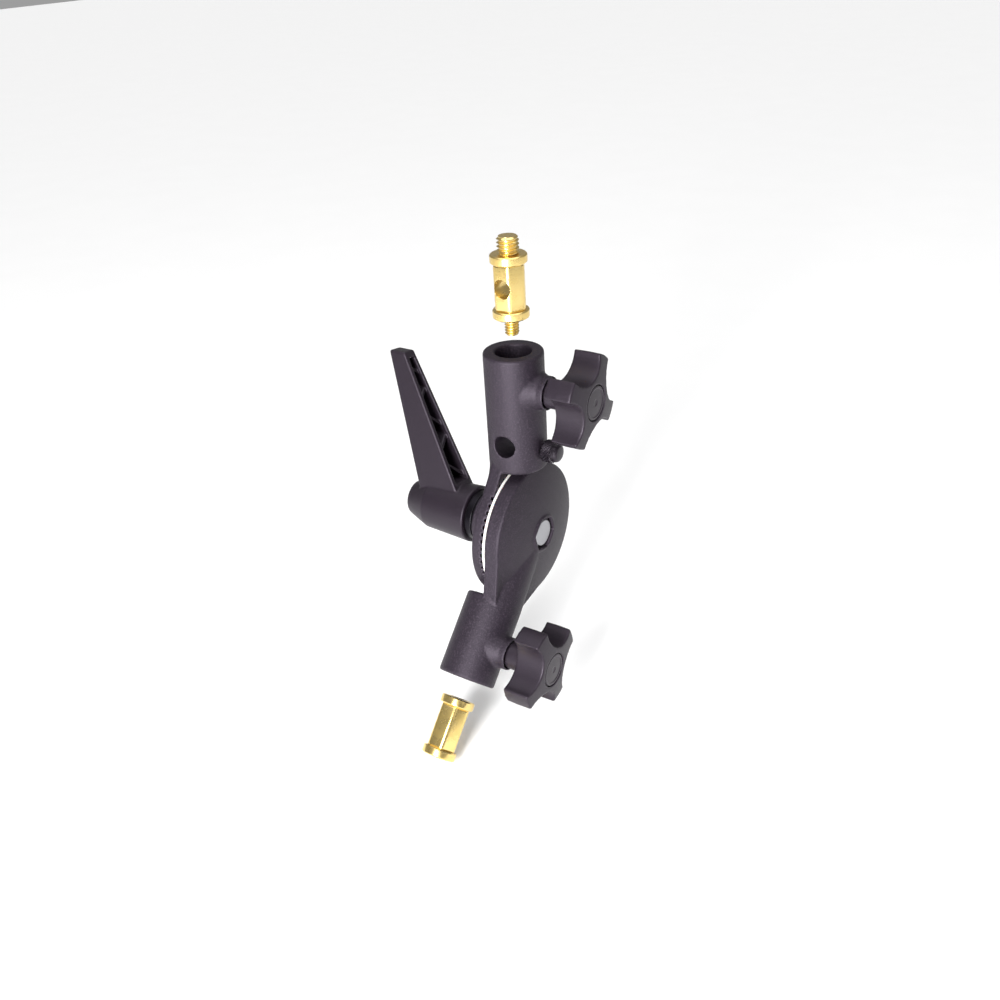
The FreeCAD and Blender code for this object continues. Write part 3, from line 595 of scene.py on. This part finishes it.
def acetal(name, colour_hex):
    """Plain white acetal: slightly see-through at its edges, with a waxy shine."""
    material, shader = new_material(name)
    marks = grain(material, 0.6, detail=3.0)
    colour = blend_colours(
        material, remap(material, marks.outputs["Fac"], 0.5, 0.75, 0.0, 0.3),
        linear(colour_hex), linear("#cfc9c4"),
    )
    edges, normal = edge_mask(material, 0.1)
    bump = add_node(
        material, "ShaderNodeBump",
        {"Strength": 0.1, "Distance": 0.00002, "Height": marks.outputs["Fac"], "Normal": normal},
    )
    set_inputs(
        material, shader,
        {"Base Color": colour, "Roughness": 0.38, "IOR": 1.48, "Normal": bump.outputs["Normal"],
         "Subsurface Weight": 0.1, "Subsurface Scale": 0.0008},
    )
    return material


def finish_named(name):
    """A finish that the finishes operator made."""
    return bpy.data.materials[name]


# ---- operators: one for each piece or group of like pieces ----

NODE_FINISHES = {
    "powder_coated_die_cast_aluminium": ("stand_arm", "umbrella_arm"),
    "moulded_glass_filled_nylon": ("lever_handle", "spigot_knob", "stand_knob"),
    "black_knurled_nylon": ("umbrella_lock_knob",),
    "moulded_plain_nylon": ("spigot_knob_cap", "stand_knob_cap"),
    "white_acetal": ("friction_disc",),
    "zinc_plated_steel": ("pivot_bolt", "ratchet_screw", "spigot_clamp_screw", "stand_clamp_screw"),
    "black_oxide_steel": ("ratchet_nut", "thrust_washer", "umbrella_lock_screw"),
    "bright_spring_steel": ("ratchet_spring",),
    "turned_brass_upper": ("spigot_clamp_pad", "male_stud"),
    "turned_brass_lower": ("stand_clamp_pad", "female_stud"),
    "natural_nylon": ("umbrella_lock_tip",),
}


class BRACKET_OT_finishes(Operator):
    """Makes every finish and gives it to the CAD nodes"""

    bl_idname = "bracket.finishes"
    bl_label = "Finishes"

    def execute(self, context):
        colours = context.scene.bracket_colours
        powder_coat(colours)
        glass_filled_nylon("moulded_glass_filled_nylon", colours.moulding, 0.35, 0.36, 0.52)
        glass_filled_nylon("moulded_plain_nylon", colours.cap, 0.5, 0.30, 0.42)
        glass_filled_nylon("black_knurled_nylon", "#0d0b0e", 0.3, 0.24, 0.36, 0.08)
        acetal("white_acetal", colours.friction)
        acetal("natural_nylon", "#d8d4c8")
        plated_steel("zinc_plated_steel", colours.bolt, 0.28, 0.42)
        plated_steel("black_oxide_steel", colours.black_oxide, 0.30, 0.45)
        plated_steel("bright_spring_steel", "#9c9ca0", 0.22, 0.32)
        turned_brass("turned_brass_upper", colours.brass, UMBRELLA_SIDE)
        turned_brass("turned_brass_lower", colours.brass, STAND_SIDE)
        for finish, nodes in NODE_FINISHES.items():
            for name in nodes:
                mesh = frame["nodes"][name].data
                mesh.materials.clear()
                mesh.materials.append(finish_named(finish))
        return {"FINISHED"}


def clamp_knob(name, sizes, side, height, turn, body, node):
    """One four-lobed knob with its neck, screw hole and cap seat, drawn along Z in mm."""
    back, rim = KNOB_BACK, KNOB_BACK + sizes.thickness / MM
    dome = sizes.dome / MM
    front = rim + dome
    radius = sizes.radius / MM
    outline = [(back, radius - 0.15), (back + 6, radius), (rim, radius - 0.15)]
    outline += [
        (rim + dome * (1 - share * share), radius * share) for share in (0.85, 0.7, 0.55, 0.4, 0.2)
    ]
    knob = turned(name, outline, 160)
    for corner in range(4):
        hollow = prism(
            name + "_hollow", 96, sizes.hollow_radius / MM, back - 5, front + 5
        )
        angle = math.radians(45 + 90 * corner)
        away = sizes.hollow_distance * Vector((math.cos(angle), math.sin(angle), 0))
        combine(knob, settle(hollow, Matrix.Translation(away)), "DIFFERENCE")
    neck_radius = sizes.neck_radius / MM
    neck = turned(
        name + "_neck",
        [(17.8, neck_radius - 0.5), (18.3, neck_radius), (back - 1.4, neck_radius),
         (back + 1, neck_radius + 1.4)],
        96,
    )
    combine(knob, neck, "UNION")
    cap_radius = sizes.cap_radius / MM
    seat = turned(
        name + "_seat",
        [(front - CAP_SEAT_DEPTH, cap_radius + 0.3), (front + 2, cap_radius + 0.3)], 96,
    )
    combine(knob, seat, "DIFFERENCE")
    combine(knob, prism(name + "_pocket", 6, 7.6, front - 8.2, front - 1), "DIFFERENCE")
    combine(knob, turned(name + "_hole", [(10, 4.12), (front - 1, 4.12)], 64), "DIFFERENCE")
    soften(knob, sizes.cast_grid, sizes.cast_passes)
    place = side @ Matrix.Translation(Vector((0, 0, height * MM)))
    place = place @ Matrix.Rotation(math.radians(-turn), 4, "X") @ LAID_ALONG_X
    return finish_piece(
        knob, place, body, finish_named("moulded_glass_filled_nylon"), [node]
    )


class BRACKET_OT_clamp_knobs(Operator):
    """Models the two four-lobed clamp knobs"""

    bl_idname = "bracket.clamp_knobs"
    bl_label = "Clamp knobs"

    def execute(self, context):
        sizes = context.scene.bracket_knob
        clamp_knob(
            "spigot_knob_grip", sizes, UMBRELLA_SIDE, SPIGOT_CLAMP_UP, SPIGOT_KNOB_TURN,
            "spigot_clamp", "spigot_knob",
        )
        clamp_knob(
            "stand_knob_grip", sizes, STAND_SIDE, STAND_CLAMP_UP, STAND_KNOB_TURN,
            "stand_clamp", "stand_knob",
        )
        return {"FINISHED"}


class BRACKET_OT_knob_caps(Operator):
    """Models the round caps in the knobs' faces, with a moulded rim and a gate dimple"""

    bl_idname = "bracket.knob_caps"
    bl_label = "Knob caps"

    def execute(self, context):
        sizes = context.scene.bracket_knob
        seat = KNOB_BACK + (sizes.thickness + sizes.dome) / MM - CAP_SEAT_DEPTH
        radius = sizes.cap_radius / MM
        for name, side, height, body, node in (
            ("spigot_cap_disc", UMBRELLA_SIDE, SPIGOT_CLAMP_UP, "spigot_clamp", "spigot_knob_cap"),
            ("stand_cap_disc", STAND_SIDE, STAND_CLAMP_UP, "stand_clamp", "stand_knob_cap"),
        ):
            cap = turned(
                name,
                [
                    (seat, radius), (seat + 1.75, radius), (seat + 2.05, radius - 0.12),
                    (seat + 2.2, radius - 0.45), (seat + 2.2, radius - 1.1),
                    (seat + 1.95, radius - 1.35), (seat + 2.05, radius * 0.5),
                    (seat + 2.1, 1.6), (seat + 1.9, 1.3), (seat + 1.85, 0.2),
                ],
                96,
            )
            place = side @ Matrix.Translation(Vector((0, 0, height * MM))) @ LAID_ALONG_X
            finish_piece(cap, place, body, finish_named("moulded_plain_nylon"), [node])
        return {"FINISHED"}


def stud_collar(name, radius, bottom, top):
    """A turned collar with small chamfers."""
    return turned(
        name,
        [(bottom, radius - 0.55), (bottom + 0.18, radius - 0.3), (bottom + 0.5, radius - 0.02),
         (bottom + 0.7, radius), (top - 0.7, radius), (top - 0.5, radius - 0.02),
         (top - 0.18, radius - 0.3), (top, radius - 0.55)],
        96,
    )


def stud_waist(name, sizes, bottom, top):
    """The hexagonal waist of a stud, with its corners rounded, before it joins the collars."""
    corner = sizes.across_flats / MM / math.sqrt(3)
    waist = prism(name, 6, corner, bottom - 0.5, top + 0.5, turn=30)
    pick(waist)
    step = waist.modifiers.new("corners", "BEVEL")
    step.width = sizes.corner_rounding
    step.segments = 4
    step.limit_method = "ANGLE"
    # The ends' edges are rounded too, which leaves a small groove beside each collar.
    step.angle_limit = math.radians(50)
    bpy.ops.object.modifier_apply(modifier=step.name)
    return waist


class BRACKET_OT_male_stud(Operator):
    """Models the upper brass stud with its two screw threads and its cross hole"""

    bl_idname = "bracket.male_stud"
    bl_label = "Upper stud"

    def execute(self, context):
        sizes = context.scene.bracket_stud
        radius = sizes.collar_radius / MM
        foot, waist, upper, shoulder, top = 7.8, 11.6, 31.6, 35.4, 42.8
        stud = stud_waist("male_stud_brass", sizes, waist, upper)
        combine(stud, stud_collar("lower_collar", radius, foot, waist), "UNION")
        combine(stud, stud_collar("upper_collar", radius, upper, shoulder), "UNION")
        hole_place = Matrix.Translation(Vector((0, 0, (waist + upper) / 2 * MM)))
        hole_place = hole_place @ Matrix.Rotation(math.radians(90), 4, "X")
        hole_radius = sizes.cross_hole_radius / MM
        half = sizes.across_flats / 2 / MM
        hole = turned(
            "cross_hole",
            [(-half - 2, hole_radius + 1.7), (-half + 0.3, hole_radius), (half - 0.3, hole_radius),
             (half + 2, hole_radius + 1.7)],
        )
        combine(stud, settle(hole, hole_place), "DIFFERENCE")
        combine(stud, threaded_rod("small_thread", 3.17, 1.27, 0.0, foot + 1.0, 0.7), "UNION")
        combine(stud, threaded_rod("large_thread", 4.76, 1.5875, shoulder - 1.0, top, 0.9), "UNION")
        place = UMBRELLA_SIDE @ Matrix.Translation(Vector((0, 0, MALE_STUD_UP * MM)))
        finish_piece(
            stud, place, "upper_stud", finish_named("turned_brass_upper"), ["male_stud"]
        )
        return {"FINISHED"}


class BRACKET_OT_female_stud(Operator):
    """Models the lower brass stud with its two threaded holes"""

    bl_idname = "bracket.female_stud"
    bl_label = "Lower stud"

    def execute(self, context):
        sizes = context.scene.bracket_stud
        radius = sizes.collar_radius / MM
        waist, upper, top = 3.9, 24.1, 28.0
        stud = stud_waist("female_stud_brass", sizes, waist, upper)
        combine(stud, stud_collar("near_collar", radius, 0.0, waist), "UNION")
        combine(stud, stud_collar("far_collar", radius, upper, top), "UNION")
        combine(stud, turned("large_sink", [(-1, 6.2), (0.9, 4.2)], 96), "DIFFERENCE")
        combine(stud, turned("small_sink", [(top - 0.8, 2.7), (top + 1, 4.5)], 96), "DIFFERENCE")
        combine(stud, threaded_rod("large_tap", 4.82, 1.5875, -2.0, 12.0, 0.8), "DIFFERENCE")
        small_tap = threaded_rod("small_tap", 3.22, 1.27, top - 9.0, top + 2.0, 0.6)
        combine(stud, small_tap, "DIFFERENCE")
        place = STAND_SIDE @ Matrix.Translation(Vector((0, 0, FEMALE_STUD_UP * MM)))
        finish_piece(
            stud, place, "lower_stud", finish_named("turned_brass_lower"), ["female_stud"]
        )
        return {"FINISHED"}


def cast_over(name, node, body, sizes, finish, tools=()):
    """A casting's skin: a copy of the CAD node, cast over on a fine grid so corners are soft."""
    deselect_all()
    source = frame["nodes"][node]
    skin = bpy.data.objects.new(name, source.data.copy())
    bpy.context.scene.collection.objects.link(skin)
    pick(skin)
    bpy.ops.object.mode_set(mode="EDIT")
    bpy.ops.mesh.select_all(action="SELECT")
    bpy.ops.mesh.remove_doubles(threshold=1e-6)
    bpy.ops.object.mode_set(mode="OBJECT")
    soften(skin, sizes.cast_grid, sizes.cast_passes)
    for tool in tools:
        combine(skin, tool, "DIFFERENCE", crossing=False)
    return finish_piece(skin, Matrix.Identity(4), body, finish_named(finish), [node], 40)


def plate_clearance(name, side, from_station, to_station, radius):
    """A round cutter along X that leaves a plate's inner face flat and its edge crisp."""
    cutter = turned(name, [(from_station, radius), (to_station, radius)], 128)
    return settle(cutter, side @ LAID_ALONG_X)


def tooth_cutter(side):
    """One cutter for all the gaps between the teeth around the umbrella plate's edge."""
    deselect_all()
    bpy.ops.mesh.primitive_cube_add(size=1)
    first = bpy.context.object
    first.name = "tooth_gaps"
    past_face = 1.3
    middle = UMBRELLA_PLATE_FACE + (past_face - TOOTH_DEPTH) / 2
    first.data.transform(
        Matrix.Translation(Vector((middle, 0, PLATE_RADIUS - 2.0)) * MM)
        @ Matrix.Diagonal(
            ((TOOTH_DEPTH + past_face) * MM, TOOTH_WIDTH * MM, TOOTH_LENGTH * MM, 1)
        )
    )
    settle(first)
    copies = []
    for step in range(1, TOOTH_COUNT):
        copy = bpy.data.objects.new("tooth_gap", first.data.copy())
        copy.data.transform(Matrix.Rotation(2 * math.pi * (step + 0.5) / TOOTH_COUNT, 4, "X"))
        bpy.context.scene.collection.objects.link(copy)
        copies.append(copy)
    first.data.transform(Matrix.Rotation(math.pi / TOOTH_COUNT, 4, "X"))
    pick(first)
    for copy in copies:
        copy.select_set(True)
    bpy.ops.object.join()
    return settle(first, side)


def bolt_pocket(side):
    """The cutter for the hexagon pocket around the pivot bolt's head."""
    pocket = prism("bolt_pocket", 6, 14.4 / math.sqrt(3), 6.7, 20.0, turn=30)
    return settle(pocket, side @ LAID_ALONG_X)


class BRACKET_OT_lever(Operator):
    """Models the ratchet lever with soft moulded corners"""

    bl_idname = "bracket.lever"
    bl_label = "Lever"

    def execute(self, context):
        sizes = context.scene.bracket_moulding
        finish = "moulded_glass_filled_nylon"
        cast_over("lever_moulding", "lever_handle", "lever", sizes, finish)
        return {"FINISHED"}


class BRACKET_OT_umbrella_lock(Operator):
    """Models the small knurled head of the umbrella lock screw"""

    bl_idname = "bracket.umbrella_lock"
    bl_label = "Umbrella lock head"

    def execute(self, context):
        back, middle, low, high = 14.5, 4.95, 4.6, 5.28
        first_row = back + 0.1
        rows = [(back, 4.7)]
        rows += [(first_row + KNURL_PITCH * step, middle) for step in range(1, KNURL_ROWS + 1)]
        rows += [(19.6, 4.3), (20.4, 4.3), (21.3, 4.15), (21.9, 3.8), (22.3, 3.2), (22.5, 2.2)]
        head = turned("umbrella_lock_grip", rows, KNURL_SIDES)
        for vertex in head.data.vertices:
            radius = math.hypot(vertex.co.x, vertex.co.y)
            row = round((vertex.co.z / MM - first_row) / KNURL_PITCH)
            if 0 < row <= KNURL_ROWS and radius > (middle - 0.05) * MM:
                column = round(math.atan2(vertex.co.y, vertex.co.x) / (2 * math.pi) * KNURL_SIDES)
                share = (high if (row + column) % 2 else low) / middle
                vertex.co.x *= share
                vertex.co.y *= share
        hole = turned("lock_hole", [(14.0, 2.6), (19.5, 2.6)], 32)
        combine(head, hole, "DIFFERENCE")
        place = UMBRELLA_SIDE @ Matrix.Translation(Vector((0, 0, UMBRELLA_LOCK_UP * MM)))
        place = place @ LAID_ALONG_X
        finish_piece(
            head, place, "umbrella_lock", finish_named("black_knurled_nylon"),
            ["umbrella_lock_knob"], 14,
        )
        return {"FINISHED"}


class BRACKET_OT_castings(Operator):
    """Models the two castings with soft cast corners"""

    bl_idname = "bracket.castings"
    bl_label = "Castings"

    def execute(self, context):
        sizes = context.scene.bracket_casting
        finish = "powder_coated_die_cast_aluminium"
        cast_over(
            "stand_arm_cast", "stand_arm", "stand_side", sizes, finish,
            [plate_clearance("stand_face", STAND_SIDE, -4.0, STAND_PLATE_FACE, 36.0),
             bolt_pocket(STAND_SIDE)],
        )
        cast_over(
            "umbrella_arm_cast", "umbrella_arm", "umbrella_side", sizes, finish,
            [plate_clearance("umbrella_face", UMBRELLA_SIDE, UMBRELLA_PLATE_FACE, 4.0, 34.2),
             tooth_cutter(UMBRELLA_SIDE)],
        )
        return {"FINISHED"}


def aim(obj, place, target):
    """Turns a light or camera at a place towards a target."""
    obj.location = place
    obj.rotation_mode = "QUATERNION"
    obj.rotation_quaternion = (target - place).to_track_quat("-Z", "Y")


def soft_light(name, power, width, height, place, target):
    """A large rectangular light."""
    data = bpy.data.lights.new(name, "AREA")
    data.energy = power
    data.shape = "RECTANGLE"
    data.size, data.size_y = width, height
    light = bpy.data.objects.new(name, data)
    bpy.context.scene.collection.objects.link(light)
    aim(light, place, target)


def set_camera(scene):
    """The camera stands a half metre off, above and to the right of the umbrella arm's front."""
    azimuth, elevation, roll = (math.radians(a) for a in (34.8004, 29.8262, -3.6218))
    back = Vector((
        math.sin(azimuth) * math.cos(elevation), -math.cos(azimuth) * math.cos(elevation),
        math.sin(elevation),
    ))
    right = Vector((math.cos(azimuth), math.sin(azimuth), 0))
    up = back.cross(right)
    right, up = (
        right * math.cos(roll) + up * math.sin(roll), up * math.cos(roll) - right * math.sin(roll)
    )
    distance, shift_right, shift_up = 490.091 * MM, 10.633 * MM, -12.772 * MM
    data = bpy.data.cameras.new("camera")
    data.sensor_width = 36.0
    data.lens = 36.852
    data.clip_start, data.clip_end = 0.01, 50.0
    camera = bpy.data.objects.new("camera", data)
    scene.collection.objects.link(camera)
    place = PIVOT + back * distance - right * shift_right - up * shift_up
    turn = Matrix((right, up, back)).transposed().to_4x4()
    camera.matrix_world = Matrix.Translation(place) @ turn
    scene.camera = camera


class BRACKET_OT_stage(Operator):
    """Sets the floor, the soft lights and the camera"""

    bl_idname = "bracket.stage"
    bl_label = "Stage"

    def execute(self, context):
        scene = context.scene
        settings = scene.bracket_stage
        deselect_all()
        bpy.ops.mesh.primitive_plane_add(size=12, location=(0, 0, cad_low.z - 0.0005))
        floor = bpy.context.object
        floor.name = "studio_floor"
        material, shader = new_material("matt_painted_floor")
        tone = grain(material, 60.0)
        shade = blend_colours(
            material, remap(material, tone.outputs["Fac"], 0.3, 0.7, 0.0, 0.3),
            linear(settings.floor), linear("#f7f7f7"),
        )
        set_inputs(material, shader, {"Base Color": shade, "Roughness": 0.9})
        floor.data.materials.append(material)
        world = bpy.data.worlds.new("soft_surround")
        world.use_nodes = True
        tree = world.node_tree
        sky = tree.nodes["Background"]
        sky.inputs["Strength"].default_value = settings.surround
        # The studio is bright behind and to the left, and darker in front and to the right.
        direction = tree.nodes.new("ShaderNodeTexCoord")
        towards = tree.nodes.new("ShaderNodeVectorMath")
        towards.operation = "DOT_PRODUCT"
        towards.inputs[1].default_value = Vector((-0.55, 0.75, 0.35)).normalized()
        tree.links.new(direction.outputs["Generated"], towards.inputs[0])
        tones = tree.nodes.new("ShaderNodeMapRange")
        tones.inputs["From Min"].default_value = -0.7
        tones.inputs["From Max"].default_value = 0.35
        tones.inputs["To Min"].default_value = 0.45
        tones.inputs["To Max"].default_value = 1.0
        tree.links.new(towards.outputs["Value"], tones.inputs["Value"])
        tree.links.new(tones.outputs["Result"], sky.inputs["Color"])
        scene.world = world
        centre = (cad_low + cad_high) / 2
        # A tall light stands on the floor in front and draws the bright line down the tubes.
        tall = 0.5
        front = Vector((0.16, -0.6, 0)) + centre
        front.z = cad_low.z + tall / 2
        soft_light("front", settings.front_power, 0.12, tall, front, Vector((*centre.xy, front.z)))
        overhead = bpy.data.lights.new("overhead", "SUN")
        overhead.energy = settings.overhead
        overhead.angle = math.radians(70)
        scene.collection.objects.link(bpy.data.objects.new("overhead", overhead))
        side = centre + Vector((0.8, -0.1, 0.35))
        soft_light("side", settings.side_power, 0.5, 0.5, side, centre)
        set_camera(scene)
        scene.view_settings.view_transform = "Standard"
        return {"FINISHED"}


STEPS = (
    BRACKET_OT_finishes, BRACKET_OT_castings, BRACKET_OT_lever, BRACKET_OT_clamp_knobs,
    BRACKET_OT_knob_caps, BRACKET_OT_umbrella_lock, BRACKET_OT_male_stud,
    BRACKET_OT_female_stud, BRACKET_OT_stage,
)
GROUPS = {
    "bracket_knob": KnobSizes, "bracket_stud": StudSizes, "bracket_casting": CastingSizes,
    "bracket_moulding": MouldingSizes, "bracket_colours": FinishColours,
    "bracket_stage": StageSettings,
}


class BRACKET_PT_panel(Panel):
    """Lists the sizes, colours and steps"""

    bl_idname = "BRACKET_PT_panel"
    bl_label = "Swivel bracket"
    bl_space_type = "VIEW_3D"
    bl_region_type = "UI"
    bl_category = "Bracket"

    def draw(self, context):
        for group_name, group in GROUPS.items():
            box = self.layout.box()
            settings = getattr(context.scene, group_name)
            for property_name in group.__annotations__:
                box.prop(settings, property_name)
        for step in STEPS:
            self.layout.operator(step.bl_idname)


def register():
    for group_name, group in GROUPS.items():
        bpy.utils.register_class(group)
        setattr(bpy.types.Scene, group_name, PointerProperty(type=group))
    for made in (*STEPS, BRACKET_PT_panel):
        bpy.utils.register_class(made)


def unregister():
    for made in (BRACKET_PT_panel, *reversed(STEPS)):
        bpy.utils.unregister_class(made)
    for group_name, group in GROUPS.items():
        delattr(bpy.types.Scene, group_name)
        bpy.utils.unregister_class(group)


def main():
    register()
    for step in STEPS:
        area, _, command = step.bl_idname.partition(".")
        getattr(getattr(bpy.ops, area), command)()


if __name__ == "__main__":
    main()
